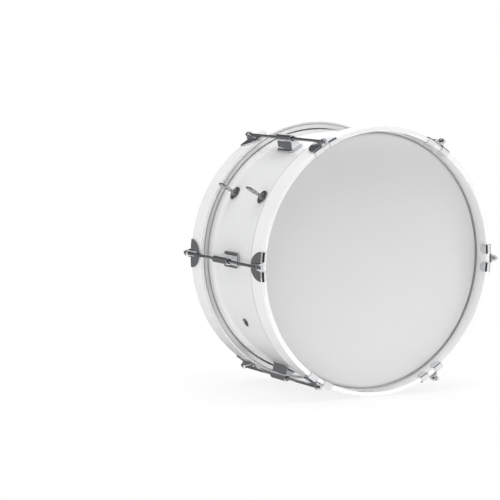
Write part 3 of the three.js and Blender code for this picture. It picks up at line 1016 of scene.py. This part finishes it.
def add_card(name, place, size, grey, turn=0.0, tilt=90.0):
    """A grey card that only reflections see."""
    deselect()
    bpy.ops.mesh.primitive_plane_add(
        size=1.0, location=place, rotation=(math.radians(tilt), 0, math.radians(turn))
    )
    card = bpy.context.object
    card.name = name
    card.scale = (*size, 1)
    bpy.ops.object.transform_apply(location=True, rotation=True, scale=True)
    black = (0.0, 0.0, 0.0, 1.0)
    finish = Finish(name, Base_Color=black, Roughness=1.0, Specular_IOR_Level=0.0)
    finish.set(Emission_Color=(grey, grey, grey, 1.0), Emission_Strength=1.0)
    dress(card, finish.material)
    card.visible_camera = False
    card.visible_diffuse = False
    card.visible_shadow = False


def add_lamp(name, place, size, power):
    """A soft lamp aimed at the drum's middle, which neither the camera nor reflections see."""
    lamp = bpy.data.lights.new(name, "AREA")
    lamp.shape = "RECTANGLE"
    lamp.size, lamp.size_y = size
    lamp.energy = power
    holder = bpy.data.objects.new(name, lamp)
    bpy.context.collection.objects.link(holder)
    aim = (Vector((0, 0, CENTRE * MM)) - Vector(place)).to_track_quat("-Z", "Y")
    holder.matrix_world = Matrix.Translation(place) @ aim.to_matrix().to_4x4()
    holder.visible_glossy = False
    holder.visible_camera = False


def add_world():
    """A white background, which lights the drum less than it shows."""
    ambient = 0.40
    world = bpy.data.worlds.new("studio")
    bpy.context.scene.world = world
    world.use_nodes = True
    tree = world.node_tree
    background = tree.nodes["Background"]
    background.inputs["Color"].default_value = (1, 1, 1, 1)
    rays = tree.nodes.new("ShaderNodeLightPath")
    seen = Link(tree, rays.outputs["Is Camera Ray"])
    for key in ("Is Glossy Ray", "Is Transmission Ray"):
        seen = seen.math("MAXIMUM", Link(tree, rays.outputs[key]))
    connect(tree, seen * (1.0 - ambient) + ambient, background.inputs["Strength"])


def add_camera():
    """The photograph's view, with a small shift because the drum stands right of its middle."""
    azimuth, elevation, roll = (math.radians(angle) for angle in (-32.16, 5.74, 1.39))
    distance, focal_px, picture_px = 3.688, 2018.4, 500.0
    middle_across_px, middle_down_px = 341.4, 255.4
    camera = bpy.data.cameras.new("camera")
    camera.sensor_width = 36.0
    camera.lens = focal_px / picture_px * camera.sensor_width
    camera.shift_x = -(middle_across_px - picture_px / 2) / picture_px
    camera.shift_y = (middle_down_px - picture_px / 2) / picture_px
    holder = bpy.data.objects.new("camera", camera)
    bpy.context.collection.objects.link(holder)
    back = Vector(
        (
            math.sin(azimuth) * math.cos(elevation),
            -math.cos(azimuth) * math.cos(elevation),
            math.sin(elevation),
        )
    )
    turn = back.to_track_quat("Z", "Y").to_matrix().to_4x4() @ Matrix.Rotation(roll, 4, "Z")
    middle = Vector((0, 0, CENTRE * MM))
    holder.matrix_world = Matrix.Translation(middle + back * distance) @ turn
    bpy.context.scene.camera = holder


build_drum()
add_floor()
# Each card: its place and size in metres, and how light its grey is
add_card("card_behind", (-1.35, 2.2, 0.2), (4.6, 1.6), 0.17)
add_card("card_behind_high", (-1.65, 2.2, 1.8), (4.2, 1.6), 0.10)
add_card("card_behind_low", (-1.3, 2.2, -1.3), (4.7, 1.4), 0.16)
add_card("card_camera_side", (-1.2, -1.6, 0.3), (3.0, 3.0), 0.05, turn=-37.0)
add_card("card_over_left", (-1.7, 0.1, 1.75), (2.2, 1.5), 0.09, turn=-90.0)
add_card("card_left", (-2.4, 0.3, 0.35), (1.6, 1.3), 0.55, turn=-90.0)
add_card("card_right", (2.0, 1.3, 0.7), (3.2, 3.0), 0.11, turn=90.0)
add_card("card_over", (0.0, -0.1, 2.0), (2.6, 2.4), 0.15, tilt=0.0)
# Each lamp: its place and size in metres, and its power in watts
add_lamp("top", (0.2, 0.4, 2.6), (2.4, 2.4), 32.0)
add_lamp("over_edge", (0.0, -0.45, 2.2), (1.8, 0.5), 14.0)
add_lamp("over_left", (-1.6, 0.5, 1.7), (1.0, 1.0), 5.5)
add_lamp("low_left", (-1.4, -0.45, 0.14), (1.2, 0.3), 3.7)
add_lamp("low_behind", (-1.3, 0.7, 0.14), (1.0, 0.24), 1.8)
add_lamp("low_front", (0.2, -0.9, 0.08), (1.4, 0.1), 2.6)
add_lamp("low_near", (-0.2, -0.02, 0.01), (0.16, 0.12), 0.04)
add_lamp("foot", (0.0, -0.3, 0.012), (0.3, 0.04), 0.09)
add_lamp("right_near", (0.44, -0.25, 0.32), (0.1, 0.2), 0.20)
add_lamp("behind", (0.4, 2.4, 0.9), (1.6, 1.2), 16.0)
add_lamp("right", (2.3, 0.3, 0.9), (1.4, 1.2), 9.0)
add_world()
add_camera()
bpy.context.scene.view_settings.view_transform = "Standard"
